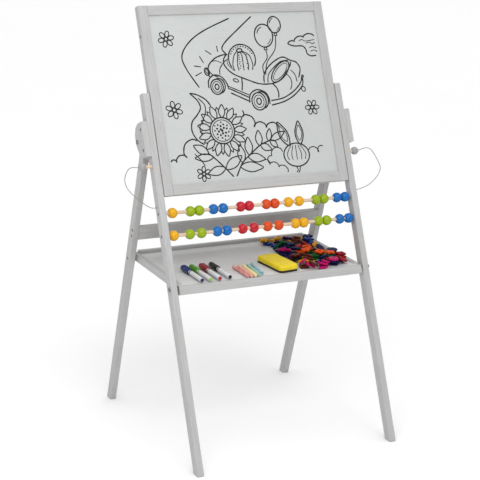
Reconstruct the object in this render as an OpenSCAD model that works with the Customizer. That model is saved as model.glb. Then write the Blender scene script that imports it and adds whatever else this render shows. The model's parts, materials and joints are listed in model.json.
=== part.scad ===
// Children's standing easel: two front legs carry a turning double-sided board, an abacus with two
// rods of sliding beads and a tray, and two rear legs on side plates fold in behind them.
// +X is the right of a child at the whiteboard side, +Y runs to the back and +Z is up. The floor is
// z = 0 and the origin lies midway between the front and rear feet.

/* [Board] */
// Width of the board
board_w = 480; // [440:5:500]
// Height of the board
board_h = 443; // [420:1:450]
// Thickness of the board's frame
board_t = 19; // [18:0.5:21]
// Face width of the board's frame members
member_w = 23; // [20:1:30]
// Depth of each writing panel below the frame's faces
panel_recess = 4; // [3:0.5:5]
// Thickness of each writing panel
panel_t = 3.5; // [3:0.5:4]
// How far the panels run into the frame's grooves
groove_depth = 6; // [4:1:8]
// Height of the board's pivot along the front legs
board_pivot_s = 855; // [850:1:860]
// Gap between the board and each front leg
board_gap = 1.5; // [1:0.1:2]

/* [Legs] */
// Width of every leg, seen from the front
leg_w = 16; // [14:1:18]
// Depth of every leg, seen from the side
leg_d = 24; // [22:1:26]
// Length of the front legs along their front faces
leg_length = 873; // [870:1:900]
// Angle at which the front legs lean back
front_lean = 20.8; // [19:0.2:22]
// Angle at which the rear legs lean forward
rear_lean = 19.5; // [18:0.5:21]
// Height of the rear legs' pivot along the front legs
leg_pivot_s = 768; // [766:1:770]
// Distance of the rear legs' pivot behind the front legs' front faces
leg_pivot_d = 40; // [39:0.5:41]
// Radius of the round corners at the top of the front legs
leg_top_r = 5; // [3:1:6]
// Radius that eases the long edges of the wood
edge_r = 1.5; // [1:0.5:2]
// Thickness of the hinge plates outside the legs
plate_t = 13.5; // [12:0.5:15]
// Height of the crossbar between the rear legs
crossbar_h = 35; // [30:1:40]
// Thickness of the crossbar
crossbar_t = 12; // [10:1:14]
// Distance of the crossbar's middle below the rear legs' pivot
crossbar_drop = 243; // [235:1:250]

/* [Lock pins] */
// Distance of the lock pins below the board's pivot
lock_drop = 150.4; // [145:0.2:155]
// Diameter of the lock pins' dowels
pin_dia = 8; // [7:0.5:9]
// Diameter of the ball knobs
knob_dia = 19; // [18:1:21]
// How far a knob's centre stands out of the leg when its pin just clears the board
knob_out = 18; // [17:0.5:19]
// How far the left pin is drawn out beyond that, and the right one (pushed in)
left_pull = 5; // [-2:0.5:8]
right_pull = -2; // [-2:0.5:8]
// Diameter of the tether cords
cord_dia = 2; // [1.5:0.5:2]

/* [Abacus] */
// Diameter of the abacus rods
rod_dia = 8; // [7:0.5:8]
// Height of the upper rod along the front legs
rod_upper_s = 595; // [592:1:598]
// Height of the lower rod along the front legs
rod_lower_s = 543; // [540:1:546]
// Diameter of a bead
bead_dia = 24; // [22:0.5:24.5]
// Length of a bead along its rod
bead_len = 21; // [20:0.5:21]

/* [Tray] */
// Height of the tray's front bolts along the front legs
tray_s = 422; // [418:1:426]
// Angle at which the tray rises to the back
tray_rise = 2.5; // [0:0.5:3]
// Gap between the tray and each leg
tray_gap = 4.5; // [3:0.5:5]
// Distance of the tray's back face behind its front bolts
tray_back = 277; // [272:1:278]
// Height of the tray's side boards
tray_side_h = 18; // [16:1:20]
// Height of the tray's front rail
tray_front_h = 25; // [23:1:27]
// Height of the tray's rear rail
tray_rear_h = 23; // [22:1:25]
// Thickness of the tray's rails and side boards
tray_board_t = 12; // [10:1:13]
// Depth of the tray's floor below its side boards
tray_lip = 3; // [2:0.5:4]
// Thickness of the tray's floor
tray_floor_t = 4; // [3:0.5:5]

/* [Hidden] */

$fn = 48;
LEFT = -1;
RIGHT = 1;

paint = "#d2cfcb";
whiteboard_colour = "#dde1de";
chalkboard_colour = "#33373a";
dowel_colour = "#e0c7a8";
knob_colour = "#a9a8a3";
steel = "#77797c";
cord_colour = "#f2f1ec";

// Faces of the legs, measured outwards from the middle of the easel
leg_in = board_w / 2 + board_gap;
leg_out = leg_in + leg_w;
leg_mid = leg_in + leg_w / 2;
// Side clearance of the rear legs against the hinge plates
rear_side_gap = 0.3;
// Chamfer at the heels of the legs
heel = 3;

// The rear legs' pivot, and where their feet end at the back
pivot_y = leg_pivot_s * sin(front_lean) + leg_pivot_d * cos(front_lean);
pivot_z = leg_pivot_s * cos(front_lean) - leg_pivot_d * sin(front_lean);
foot_back = pivot_y + pivot_z * tan(rear_lean) + leg_d / 2 / cos(rear_lean);
front_y = -foot_back / 2;

// Middle of the leg's depth, of the board's thickness and of the lock pins' height
leg_half_d = leg_d / 2;
board_mid_d = board_t / 2;
lock_s = board_pivot_s - lock_drop;

// Clearances round the shafts that turn or slide, and round the fixed screws
run_gap = 0.08;
screw_gap = 0.1;

// Board pivot dowels: in the stile, and in the blind bore in the leg
board_pivot_dia = 8;
board_pivot_in = 14;
board_pivot_leg = 11;

// Lock pins: the tip stands this far inside the leg when the board is free
pin_tip_gap = 1;
lock_hole_depth = 12;
pin_in_knob = 6;
cord_hole = 1.3;
cord_hole_depth = 4;
anchor_drop = 94;

// Screws and bolts
screw_shank = 4;
screw_head = 8;
screw_head_h = 2.5;
// How far the screws' heads lie below the plates' and front legs' faces, and below the
// rear legs' faces
screw_sink = 0.5;
rear_screw_sink = 1;
bolt_dia = 6;
bolt_head_dia = 11;
bolt_head_h = 2.5;
plate_screw_d = 12;
plate_screw_s = [743, 791];
crossbar_screw_pitch = 16;

// Outline of a hinge plate: depth behind the legs' front faces, height along the legs
plate_outline = [[0.5, 727], [0.5, 808], [27, 808], [42, 800], [51, 786], [51, 764], [36, 733], [30, 727]];

// Abacus: the spaces that beads are left at, and the one to the left of each bead,
// from the left leg to the right one
touching = 1;
slight = 3.5;
loose = 8;
medium = 15;
long = 19;
wide = 24;
upper_gaps = [
    loose, wide, touching, medium, slight, wide, touching, wide,
    touching, medium, loose, wide, touching, medium, touching
];
lower_gaps = [
    slight, long, loose, long, slight, long, loose, medium,
    loose, wide, touching, long, touching, medium, slight
];
rod_socket = 8;
bead_bore_r = 4.3;
bead_colours = ["#f5b914", "#9bc319", "#3282cd", "#d7374b", "#eb6928", "#f5b914", "#9bc319", "#3282cd"];

// The tray's front bolts, its half width and the top of its floor above the bolts
tray_bolt_d = tray_board_t / 2;
tray_y = tray_s * sin(front_lean) + tray_bolt_d * cos(front_lean);
tray_z = tray_s * cos(front_lean) - tray_bolt_d * sin(front_lean);
tray_half_w = leg_in - tray_gap;
tray_floor_top = tray_side_h / 2 - tray_lip;
tray_front_top = tray_s + tray_side_h / 2 + 1;
// Depth of the grooves for the floor, and where the floor starts behind the bolts
tray_groove = 6;
tray_floor_front = 3.2;
// Distance of the screws through the rear legs behind the front bolts
tray_screw_back = 260;
// How far the tray's bolts run into the ends of its front rail
tray_bolt_in = 20;

// Tether routes from the knob to the leg: distance out of the leg's outer face, distance behind the
// pin's axis and distance below it
left_route = [
    [29, 0, 0], [33, 0, 0], [38.5, 3, -1], [43, 13, -3], [46, 27, -2], [47, 43, 4], [47, 57, 15],
    [44, 63, 30], [38, 60, 44], [30, 56, 56], [18, 48, 72], [11, 35, 84], [8, 20, 91],
    [5, 8, anchor_drop], [1, 4, anchor_drop], [-3, 4, anchor_drop]
];
right_route = [
    [22, 0, 0], [26, 0, 0], [33, -1, -2], [42, -4, -4], [52, -6, -3], [62, -5, 4], [72, -2, 20],
    [80, 0, 38], [81, 1, 48], [75, 3, 61], [60, 4, 75], [41, 4, 86], [22, 4, 92],
    [10, 4, anchor_drop], [2, 4, anchor_drop], [-3, 4, anchor_drop]
];
rings_per_span = 3;
cord_sides = 8;

// ---------------------------------------------------------------- frames of reference

// X across, Y behind the front legs' front faces, Z along the legs from the floor
module in_front_frame() {
    translate([0, front_y, 0])
        rotate([-front_lean, 0, 0])
            children();
}

// X across, Y behind the rear legs' pivot, Z along the rear legs
module in_rear_frame() {
    translate([0, front_y + pivot_y, pivot_z])
        rotate([rear_lean, 0, 0])
            children();
}

// X across, Y along the tray from its front bolts, Z square to its floor
module in_tray_frame() {
    translate([0, front_y + tray_y, tray_z])
        rotate([tray_rise, 0, 0])
            children();
}

// Right-hand shapes are mirrored for the left side
module on_side(side) {
    if (side == LEFT)
        mirror([1, 0, 0])
            children();
    else
        children();
}

// ---------------------------------------------------------------- shared shapes

module rounded_rect(w, d, r) {
    translate([-w / 2 + r, -d / 2])
        square([w - 2 * r, d]);
    translate([-w / 2, -d / 2 + r])
        square([w, d - 2 * r]);
    for (x = [-1, 1], y = [-1, 1])
        translate([x * (w / 2 - r), y * (d / 2 - r)])
            circle(r);
}

// A bar with eased long edges, standing on z = 0
module bar(w, d, length) {
    linear_extrude(length)
        rounded_rect(w, d, edge_r);
}

// The same bar lying along X, centred
module bar_across(length, d, h) {
    translate([-length / 2, 0, 0])
        rotate([0, 90, 0])
            bar(h, d, length);
}

// Extrudes a side outline (depth, height) along X
module across(x, w) {
    translate([x, 0, 0])
        rotate([90, 0, 90])
            linear_extrude(w)
                children();
}

// A round pin or bore along X
module round_x(x, length, r, d, s) {
    translate([x, d, s])
        rotate([0, 90, 0])
            cylinder(h = length, r = r);
}

// Countersunk shape along -X, its head's face at x
module screw_x(x, length, d, s, gap) {
    translate([x, d, s])
        rotate([0, -90, 0]) {
            cylinder(h = screw_head_h, r1 = screw_head / 2 + gap, r2 = screw_shank / 2 + gap);
            cylinder(h = length, r = screw_shank / 2 + gap);
        }
}

// Hole for the same screw, open above its head
module screw_hole(x, length, d, s) {
    screw_x(x, length, d, s, screw_gap);
    round_x(x - 0.01, 3, screw_head / 2 + screw_gap, d, s);
}

// Cross recess in a screw head whose face is at x
module cross_recess(x, d, s) {
    for (turn = [0, 90])
        translate([x - 1.2, d, s])
            rotate([turn, 0, 0])
                translate([0, -0.6, -2])
                    cube([2, 1.2, 4]);
}

// ---------------------------------------------------------------- front frame

module leg_outline() {
    foot_rise = leg_d * tan(front_lean);
    polygon([
        [heel, heel * tan(front_lean)], [leg_d, foot_rise], [leg_d, leg_length - leg_top_r],
        [0, leg_length - leg_top_r], [0, heel]
    ]);
    for (d = [leg_top_r, leg_d - leg_top_r])
        translate([d, leg_length - leg_top_r])
            circle(leg_top_r);
    translate([leg_top_r, leg_length - leg_top_r - 1])
        square([leg_d - 2 * leg_top_r, leg_top_r + 1]);
}

module front_leg(side) {
    color(paint) in_front_frame() on_side(side) difference() {
        intersection() {
            translate([leg_mid, leg_half_d, 0])
                bar(leg_w, leg_d, leg_length + 1);
            across(leg_in, leg_w)
                leg_outline();
        }
        round_x(leg_in - 1, board_pivot_leg + 1, board_pivot_dia / 2 + run_gap, board_mid_d, board_pivot_s);
        round_x(leg_in - 1, leg_w + 2, pin_dia / 2 + run_gap, board_mid_d, lock_s);
        round_x(leg_out - 5, 6, cord_hole, board_mid_d + 4, lock_s - anchor_drop);
        for (s = [rod_upper_s, rod_lower_s]) {
            round_x(leg_in - 1, rod_socket + 1, rod_dia / 2, leg_half_d, s);
            screw_hole(leg_out - screw_sink, leg_w + 1, leg_half_d, s);
        }
        for (s = plate_screw_s)
            round_x(leg_out - 13, 14, screw_shank / 2 + screw_gap, plate_screw_d, s);
        round_x(leg_in - 1, leg_w + 2, bolt_dia / 2, tray_bolt_d, tray_s);
    }
}

module hinge_plate(side) {
    color(paint) in_front_frame() on_side(side) difference() {
        across(leg_out, plate_t)
            polygon(plate_outline);
        for (s = plate_screw_s)
            screw_hole(leg_out + plate_t - screw_sink, plate_t + 1, plate_screw_d, s);
        round_x(leg_out - 1, plate_t + 2, bolt_dia / 2, leg_pivot_d, leg_pivot_s);
    }
}

module cross_head_screw(x, length, d, s) {
    difference() {
        screw_x(x, length, d, s, 0);
        cross_recess(x, d, s);
    }
}

// Two screws in each hinge plate and one in the end of each abacus rod
module frame_screws() {
    color(steel) in_front_frame() for (side = [LEFT, RIGHT]) on_side(side) {
        for (s = plate_screw_s)
            cross_head_screw(leg_out + plate_t - screw_sink, 25, plate_screw_d, s);
        for (s = [rod_upper_s, rod_lower_s])
            cross_head_screw(leg_out - screw_sink, 20, leg_half_d, s);
    }
}

// Pan-head bolt along -X, its head outside x
module pan_bolt(x, length) {
    difference() {
        union() {
            translate([x - length, 0, 0])
                rotate([0, 90, 0])
                    cylinder(h = length + 0.5, r = bolt_dia / 2);
            translate([x, 0, 0])
                rotate([0, 90, 0])
                    cylinder(h = bolt_head_h, r1 = bolt_head_dia / 2, r2 = bolt_head_dia / 2 - 1);
        }
        translate([x + bolt_head_h - 1.2, 0, 0])
            rotate([0, 90, 0])
                cylinder(h = 2, r = 2, $fn = 6);
    }
}

// Bolts that the rear legs turn on, and the two that the tray turns on
module pivot_bolts() {
    color(steel) for (side = [LEFT, RIGHT]) on_side(side) {
        in_front_frame()
            translate([0, leg_pivot_d, leg_pivot_s])
                pan_bolt(leg_out + plate_t, plate_t + leg_w - 1);
        in_front_frame()
            translate([0, tray_bolt_d, tray_s])
                pan_bolt(leg_out, leg_w + tray_gap + tray_bolt_in);
    }
}

module abacus_rod(s) {
    color(dowel_colour) in_front_frame() difference() {
        round_x(-leg_in - rod_socket, 2 * (leg_in + rod_socket), rod_dia / 2, leg_half_d, s);
        for (side = [LEFT, RIGHT])
            on_side(side)
                round_x(leg_in - 6, 20, screw_shank / 2 + screw_gap, leg_half_d, s);
    }
}

// ---------------------------------------------------------------- rear frame

// Height of the floor in the rear frame at a depth behind the pivot
function rear_floor(d) = -(pivot_z + d * sin(rear_lean)) / cos(rear_lean);

module rear_leg_outline() {
    circle(leg_half_d);
    polygon([
        [-leg_half_d, 0], [-leg_half_d, rear_floor(-leg_half_d)],
        [leg_half_d - heel, rear_floor(leg_half_d - heel)],
        [leg_half_d, rear_floor(leg_half_d) + heel], [leg_half_d, 0]
    ]);
}

module rear_leg(side) {
    thick = leg_w - 2 * rear_side_gap;
    color(paint) in_rear_frame() on_side(side) difference() {
        intersection() {
            translate([leg_mid, 0, rear_floor(leg_half_d) - 5])
                bar(thick, leg_d, -rear_floor(leg_half_d) + leg_d);
            across(leg_in, leg_w)
                rear_leg_outline();
        }
        round_x(leg_in - 1, leg_w + 2, bolt_dia / 2 + run_gap, 0, 0);
        for (s = [-0.5, 0.5])
            screw_hole(leg_out - rear_screw_sink, leg_w + 1, crossbar_d,
                       -crossbar_drop + s * crossbar_screw_pitch);
        screw_hole(leg_out - rear_screw_sink, leg_w + 1, 0, tray_screw_s);
    }
}

// Depth of the crossbar's middle in the rear frame, flush with the legs' front faces
crossbar_d = -leg_half_d + crossbar_t / 2;
// Height of the tray's rear screws along the rear legs
tray_screw_s = -(pivot_z - tray_z - tray_screw_back * sin(tray_rise)) / cos(rear_lean);

module rear_crossbar() {
    crossbar_w = 2 * (leg_in + rear_side_gap);
    color(paint) in_rear_frame() difference() {
        translate([0, crossbar_d, -crossbar_drop])
            bar_across(crossbar_w, crossbar_t, crossbar_h);
        for (side = [LEFT, RIGHT], s = [-0.5, 0.5])
            on_side(side)
                round_x(leg_in - 22, 40, screw_shank / 2 + screw_gap, crossbar_d,
                    -crossbar_drop + s * crossbar_screw_pitch);
    }
}

// Two screws into each end of the crossbar and one short screw each side that holds the tray
module rear_leg_screws() {
    color(steel) in_rear_frame() for (side = [LEFT, RIGHT]) on_side(side) {
        for (s = [-0.5, 0.5])
            cross_head_screw(leg_out - rear_screw_sink, 34, crossbar_d,
                             -crossbar_drop + s * crossbar_screw_pitch);
        cross_head_screw(leg_out - rear_screw_sink, leg_w - 2, 0, tray_screw_s);
    }
}

// ---------------------------------------------------------------- board

board_bottom = board_pivot_s - board_h / 2;
opening_w = board_w - 2 * member_w;
opening_h = board_h - 2 * member_w;
panel_w = opening_w + 2 * groove_depth;
panel_h = opening_h + 2 * groove_depth;
back_panel_d = board_t - panel_recess - panel_t;

// The space that both panels take, as grooves in the frame
module panel_grooves() {
    for (d = [panel_recess, back_panel_d])
        translate([-panel_w / 2, d, board_pivot_s - panel_h / 2])
            cube([panel_w, panel_t, panel_h]);
}

module board_stile(side) {
    color(paint) in_front_frame() difference() {
        on_side(side) difference() {
            translate([board_w / 2 - member_w / 2, board_mid_d, board_bottom])
                bar(member_w, board_t, board_h);
            round_x(board_w / 2 - board_pivot_in, 20, board_pivot_dia / 2, board_mid_d, board_pivot_s);
            for (end = [-1, 1])
                round_x(board_w / 2 - lock_hole_depth, 20, pin_dia / 2 + 0.2, board_mid_d,
                    board_pivot_s + end * lock_drop);
        }
        panel_grooves();
    }
}

module board_rail(end) {
    color(paint) in_front_frame() difference() {
        translate([0, board_mid_d, board_pivot_s + end * (board_h - member_w) / 2])
            bar_across(opening_w, board_t, member_w);
        panel_grooves();
    }
}

module whiteboard_panel() {
    color(whiteboard_colour) in_front_frame()
        translate([-panel_w / 2, panel_recess, board_pivot_s - panel_h / 2])
            cube([panel_w, panel_t, panel_h]);
}

module chalkboard_panel() {
    color(chalkboard_colour) in_front_frame()
        translate([-panel_w / 2, back_panel_d, board_pivot_s - panel_h / 2])
            cube([panel_w, panel_t, panel_h]);
}

module board_pivots() {
    color(dowel_colour) in_front_frame() for (side = [LEFT, RIGHT]) on_side(side)
        round_x(board_w / 2 - board_pivot_in, board_pivot_in + board_gap + board_pivot_leg - 1,
            board_pivot_dia / 2, board_mid_d, board_pivot_s);
}

// ---------------------------------------------------------------- lock pins and tethers

// How far a side's pin is drawn out, and where its knob's centre then is
function pull(side) = side == LEFT ? left_pull : right_pull;
function knob_x(side) = leg_out + knob_out + pull(side);

// Where a pin ends inside its knob
function pin_end_x(side) = knob_x(side) - knob_dia / 2 + pin_in_knob;

module lock_pin(side) {
    tip_x = leg_in + pin_tip_gap + pull(side);
    chamfer = 1;
    color(dowel_colour) in_front_frame() on_side(side)
        translate([tip_x, board_mid_d, lock_s])
            rotate([0, 90, 0]) {
                cylinder(h = chamfer, r1 = pin_dia / 2 - chamfer, r2 = pin_dia / 2);
                translate([0, 0, chamfer])
                    cylinder(h = pin_end_x(side) - tip_x - chamfer, r = pin_dia / 2);
            }
}

module lock_knob(side) {
    color(knob_colour) in_front_frame() on_side(side) difference() {
        translate([knob_x(side), board_mid_d, lock_s])
            rotate([0, 90, 0])
                sphere(d = knob_dia);
        round_x(leg_out, pin_end_x(side) - leg_out, pin_dia / 2, board_mid_d, lock_s);
        round_x(knob_x(side) + knob_dia / 2 - cord_hole_depth, 10, cord_hole, board_mid_d, lock_s);
    }
}

// Catmull-Rom curve through four points
function curve(a, b, c, d, t) =
    0.5 * (2 * b + (c - a) * t + (2 * a - 5 * b + 4 * c - d) * t * t + (3 * b - a - 3 * c + d) * t * t * t);

function clamp_index(i, n) = min(max(i, 0), n - 1);

// Rings' centres: the route's points and evenly stepped points between them
function smooth(route) = [
    for (i = [0:len(route) - 2], k = [0:rings_per_span - 1])
        curve(route[clamp_index(i - 1, len(route))], route[i], route[i + 1],
            route[clamp_index(i + 2, len(route))], k / rings_per_span),
    route[len(route) - 1]
];

function unit(v) = v / norm(v);

function tangent(path, i) =
    unit(path[clamp_index(i + 1, len(path))] - path[clamp_index(i - 1, len(path))]);

// A normal carried along the path, so that the tube doesn't twist
function carried(n, t) = unit(n - (n * t) * t);
function normals(path, i = 0, last = [0, 0, 1]) =
    i == len(path) ? [] :
    let (n = carried(last, tangent(path, i)))
    concat([n], normals(path, i + 1, n));

// One closed tube swept along the path
module tube(path, r) {
    count = len(path);
    side_of = normals(path);
    rings = [
        for (i = [0:count - 1], k = [0:cord_sides - 1])
            let (u = side_of[i], v = cross(tangent(path, i), u), a = 360 * k / cord_sides)
            path[i] + r * (cos(a) * u + sin(a) * v)
    ];
    walls = [
        for (i = [0:count - 2], k = [0:cord_sides - 1])
            let (n = (k + 1) % cord_sides, low = i * cord_sides, high = low + cord_sides)
            [low + n, low + k, high + k, high + n]
    ];
    start_cap = [for (k = [0:cord_sides - 1]) k];
    end_cap = [for (k = [cord_sides - 1:-1:0]) (count - 1) * cord_sides + k];
    polyhedron(rings, concat([start_cap], walls, [end_cap]), convexity = 6);
}

module tether(side, route) {
    path = smooth([for (p = route) [side * (leg_out + p[0]), board_mid_d + p[1], lock_s - p[2]]]);
    color(cord_colour) in_front_frame()
        tube(path, cord_dia / 2);
}

// ---------------------------------------------------------------- tray

// The floor, let into grooves in the boards round it
module tray_floor_shape() {
    floor_back = tray_back - tray_board_t + tray_groove;
    half_w = tray_half_w - tray_board_t + tray_groove;
    translate([-half_w, tray_floor_front, tray_floor_top - tray_floor_t])
        cube([2 * half_w, floor_back - tray_floor_front, tray_floor_t]);
}

module tray_floor() {
    color(paint) in_tray_frame()
        tray_floor_shape();
}

// The front rail lies flush with the front legs and turns on the bolts in its ends
module tray_front_rail() {
    color(paint) difference() {
        in_front_frame() difference() {
            translate([0, tray_bolt_d, tray_front_top - tray_front_h / 2])
                bar_across(2 * tray_half_w, tray_board_t, tray_front_h);
            for (side = [LEFT, RIGHT])
                on_side(side)
                    round_x(tray_half_w - tray_bolt_in - 1, 40, bolt_dia / 2 + run_gap, tray_bolt_d, tray_s);
        }
        in_tray_frame() {
            tray_floor_shape();
            // The rail's top is level with the floor
            translate([-leg_out, -50, tray_floor_top])
                cube([2 * leg_out, 100, 50]);
        }
    }
}

module tray_rear_rail() {
    color(paint) in_tray_frame() difference() {
        translate([0, tray_back - tray_board_t / 2, (tray_rear_h - tray_side_h) / 2])
            bar_across(2 * (tray_half_w - tray_board_t), tray_board_t, tray_rear_h);
        tray_floor_shape();
    }
}

module tray_side(side) {
    color(paint) difference() {
        in_tray_frame() difference() {
            on_side(side) translate([tray_half_w - tray_board_t / 2, 0, 0])
                rotate([-90, 0, 0])
                    bar(tray_board_t, tray_side_h, tray_back);
            tray_floor_shape();
        }
        // The side board starts behind the front rail
        in_front_frame()
            translate([-leg_out, -50, tray_s - 100])
                cube([2 * leg_out, 50 + tray_board_t, 200]);
    }
}

// ---------------------------------------------------------------- beads

function bead_name(row, i) = str("bead_", row, "_", i < 10 ? "0" : "", i);

function total(list, count) = count == 0 ? 0 : list[count - 1] + total(list, count - 1);

// Middle of bead i on a rod, counted from 1 at the left leg
function bead_x(gaps, i) = -leg_in + total(gaps, i) + (i - 0.5) * bead_len;

module bead(gaps, s, i) {
    color(bead_colours[floor(i / 2)]) in_front_frame()
        translate([bead_x(gaps, i), leg_half_d, s])
            rotate([0, 90, 0])
                difference() {
                    intersection() {
                        sphere(d = bead_dia);
                        cylinder(h = bead_len, r = bead_dia, center = true);
                    }
                    cylinder(h = 2 * bead_dia, r = bead_bore_r, center = true);
                }
}

// ---------------------------------------------------------------- nodes

front_leg(LEFT);  // front_leg_left
front_leg(RIGHT);  // front_leg_right
hinge_plate(LEFT);  // hinge_plate_left
hinge_plate(RIGHT);  // hinge_plate_right
frame_screws();
pivot_bolts();
abacus_rod(rod_upper_s);  // abacus_rod_upper
abacus_rod(rod_lower_s);  // abacus_rod_lower
rear_leg(LEFT);  // rear_leg_left
rear_leg(RIGHT);  // rear_leg_right
rear_crossbar();
rear_leg_screws();
board_stile(LEFT);  // board_stile_left
board_stile(RIGHT);  // board_stile_right
board_rail(1);  // board_rail_top
board_rail(-1);  // board_rail_bottom
whiteboard_panel();
chalkboard_panel();
board_pivots();
lock_pin(LEFT);  // lock_pin_left
lock_pin(RIGHT);  // lock_pin_right
lock_knob(LEFT);  // lock_knob_left
lock_knob(RIGHT);  // lock_knob_right
tether(LEFT, left_route);  // tether_left
tether(RIGHT, right_route);  // tether_right
tray_front_rail();
tray_rear_rail();
tray_side(LEFT);  // tray_side_left
tray_side(RIGHT);  // tray_side_right
tray_floor();
for (i = [1:15]) {
    bead(upper_gaps, rod_upper_s, i);
    bead(lower_gaps, rod_lower_s, i);
}
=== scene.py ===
"""Looks for the children's easel. Lengths are in metres unless a name or comment says millimetres."""
import math
import random
import json
from itertools import product

import bpy
from mathutils import Euler, Matrix, Vector

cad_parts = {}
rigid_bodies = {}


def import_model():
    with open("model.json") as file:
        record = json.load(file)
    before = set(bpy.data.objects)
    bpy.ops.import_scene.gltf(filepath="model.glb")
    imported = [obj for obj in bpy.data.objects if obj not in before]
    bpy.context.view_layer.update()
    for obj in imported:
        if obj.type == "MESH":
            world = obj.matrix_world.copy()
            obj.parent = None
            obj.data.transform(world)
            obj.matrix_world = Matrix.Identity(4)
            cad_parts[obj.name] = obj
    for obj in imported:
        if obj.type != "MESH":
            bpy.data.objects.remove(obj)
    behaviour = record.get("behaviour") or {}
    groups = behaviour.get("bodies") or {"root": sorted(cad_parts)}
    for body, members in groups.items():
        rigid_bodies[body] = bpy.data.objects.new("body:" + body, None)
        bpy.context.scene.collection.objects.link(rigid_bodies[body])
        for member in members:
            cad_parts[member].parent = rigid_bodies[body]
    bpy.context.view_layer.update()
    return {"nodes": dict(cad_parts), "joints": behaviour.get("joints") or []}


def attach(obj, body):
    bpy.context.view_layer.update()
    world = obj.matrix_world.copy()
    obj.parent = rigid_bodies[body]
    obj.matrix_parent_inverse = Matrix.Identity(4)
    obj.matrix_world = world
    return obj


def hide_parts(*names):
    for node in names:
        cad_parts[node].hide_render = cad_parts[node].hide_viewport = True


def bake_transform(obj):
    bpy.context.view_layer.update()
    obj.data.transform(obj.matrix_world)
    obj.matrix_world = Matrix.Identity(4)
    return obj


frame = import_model()
nodes = frame["nodes"]
joints = {j["name"]: j for j in frame["joints"]}

MM = 0.001
LEAN = math.radians(20.8)        # front legs and board, leaning back
REAR_LEAN = math.radians(19.5)   # rear legs
TRAY_RISE = math.radians(2.5)
BOARD_PIVOT = Vector(joints["board_flip"]["pos_m"])
TRAY_PIVOT = Vector(joints["tray_fold"]["pos_m"])
BOARD_MID_D = 9.5                # board pivot behind the legs' front faces, mm
BOARD_S = 855                    # board pivot along the legs, mm
PANEL_D = 4                      # whiteboard's face behind the frame's face, mm
TRAY_FLOOR = 6                   # tray floor above its pivot, mm

UP_LEG = Vector((0, math.sin(LEAN), math.cos(LEAN)))
OUT_BACK = Vector((0, math.cos(LEAN), -math.sin(LEAN)))
ALONG_TRAY = Vector((0, math.cos(TRAY_RISE), math.sin(TRAY_RISE)))
UP_TRAY = Vector((0, -math.sin(TRAY_RISE), math.cos(TRAY_RISE)))
ALONG_X = Vector((1, 0, 0))
DOWN_REAR = Vector((0, math.sin(REAR_LEAN), -math.cos(REAR_LEAN)))


def front(x, d, s):
    """From the front legs' frame in mm (across, behind the front faces, along the legs) to the row frame."""
    return BOARD_PIVOT + MM * (x * ALONG_X + (s - BOARD_S) * UP_LEG + (d - BOARD_MID_D) * OUT_BACK)


def tray(x, y, w):
    """From the tray's frame in mm (across, along, above its pivot) to the row frame."""
    return TRAY_PIVOT + MM * (x * ALONG_X + y * ALONG_TRAY + w * UP_TRAY)


# ---------------------------------------------------------------- camera

CAMERA_PLACE = (-1.4261, -2.8762, 1.2367)
CAMERA_LOOK = (0.42663, 0.87276, -0.23724)
CAMERA_ROLL = math.radians(0.57)
LENS = 103.48                    # focal length on a sensor 36 mm wide, mm

camera = bpy.data.objects.new("camera", bpy.data.cameras.new("camera"))
bpy.context.scene.collection.objects.link(camera)
look = Vector(CAMERA_LOOK).normalized()
level = look.cross(Vector((0, 0, 1))).normalized()
right = math.cos(CAMERA_ROLL) * level + math.sin(CAMERA_ROLL) * level.cross(look)
camera.matrix_world = Matrix((right, right.cross(look), -look)).transposed().to_4x4()
camera.location = CAMERA_PLACE
camera.data.sensor_width = 36
camera.data.lens = LENS
camera.data.clip_end = 100
bpy.context.scene.camera = camera


# ---------------------------------------------------------------- mesh helpers

CORNER_STEPS = 5                 # in a rounded corner of a turned piece


def mesh_object(name, verts, faces, smooth=True):
    data = bpy.data.meshes.new(name)
    data.from_pydata([tuple(v) for v in verts], [], faces)
    data.validate()
    data.update()
    if smooth:
        data.polygons.foreach_set("use_smooth", [True] * len(data.polygons))
    obj = bpy.data.objects.new(name, data)
    bpy.context.scene.collection.objects.link(obj)
    return obj


def catmull(points, per_span, closed=False):
    """Points on a Catmull-Rom curve through the given ones."""
    pts = [Vector(p) for p in points]
    n = len(pts)
    spans = n if closed else n - 1
    made = []
    for i in range(spans):
        near = range(i - 1, i + 3)
        a, b, c, d = (pts[k % n if closed else min(max(k, 0), n - 1)] for k in near)
        for k in range(per_span):
            t = k / per_span
            made.append(0.5 * (2 * b + (c - a) * t + (2 * a - 5 * b + 4 * c - d) * t * t
                               + (3 * b - a - 3 * c + d) * t ** 3))
    if not closed:
        made.append(pts[-1])
    return made


def way_at(path, i, closed=False):
    """The direction of a path at its point i."""
    before = path[i - 1] if i or closed else path[i]
    after = path[(i + 1) % len(path)] if i < len(path) - 1 or closed else path[i]
    return (after - before).normalized()


def ring_faces(rings, sides, closed=False, first=0, flip=False):
    """Quads between rings of vertices, with a face at each end unless the last ring joins the first."""
    faces = []
    for i in range(rings if closed else rings - 1):
        low, high = first + i * sides, first + ((i + 1) % rings) * sides
        for k in range(sides):
            n = (k + 1) % sides
            quad = (low + k, low + n, high + n, high + k)
            faces.append(quad[:1] + quad[:0:-1] if flip else quad)
    if not closed:
        last = first + (rings - 1) * sides
        ends = [tuple(range(first + sides - 1, first - 1, -1)), tuple(range(last, last + sides))]
        faces += [end[::-1] for end in ends] if flip else ends
    return faces


def swept(path, section, start_up=Vector((0, 0, 1))):
    """Vertices and faces of a closed tube: section(i, count) gives the (side, up) offsets of ring i."""
    count = len(path)
    verts = []
    up = start_up
    for i, p in enumerate(path):
        t = way_at(path, i)
        up = (up - up.dot(t) * t).normalized()
        side = t.cross(up)
        verts += [p + a * side + b * up for a, b in section(i, count)]
    return verts, ring_faces(count, len(verts) // count)


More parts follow.
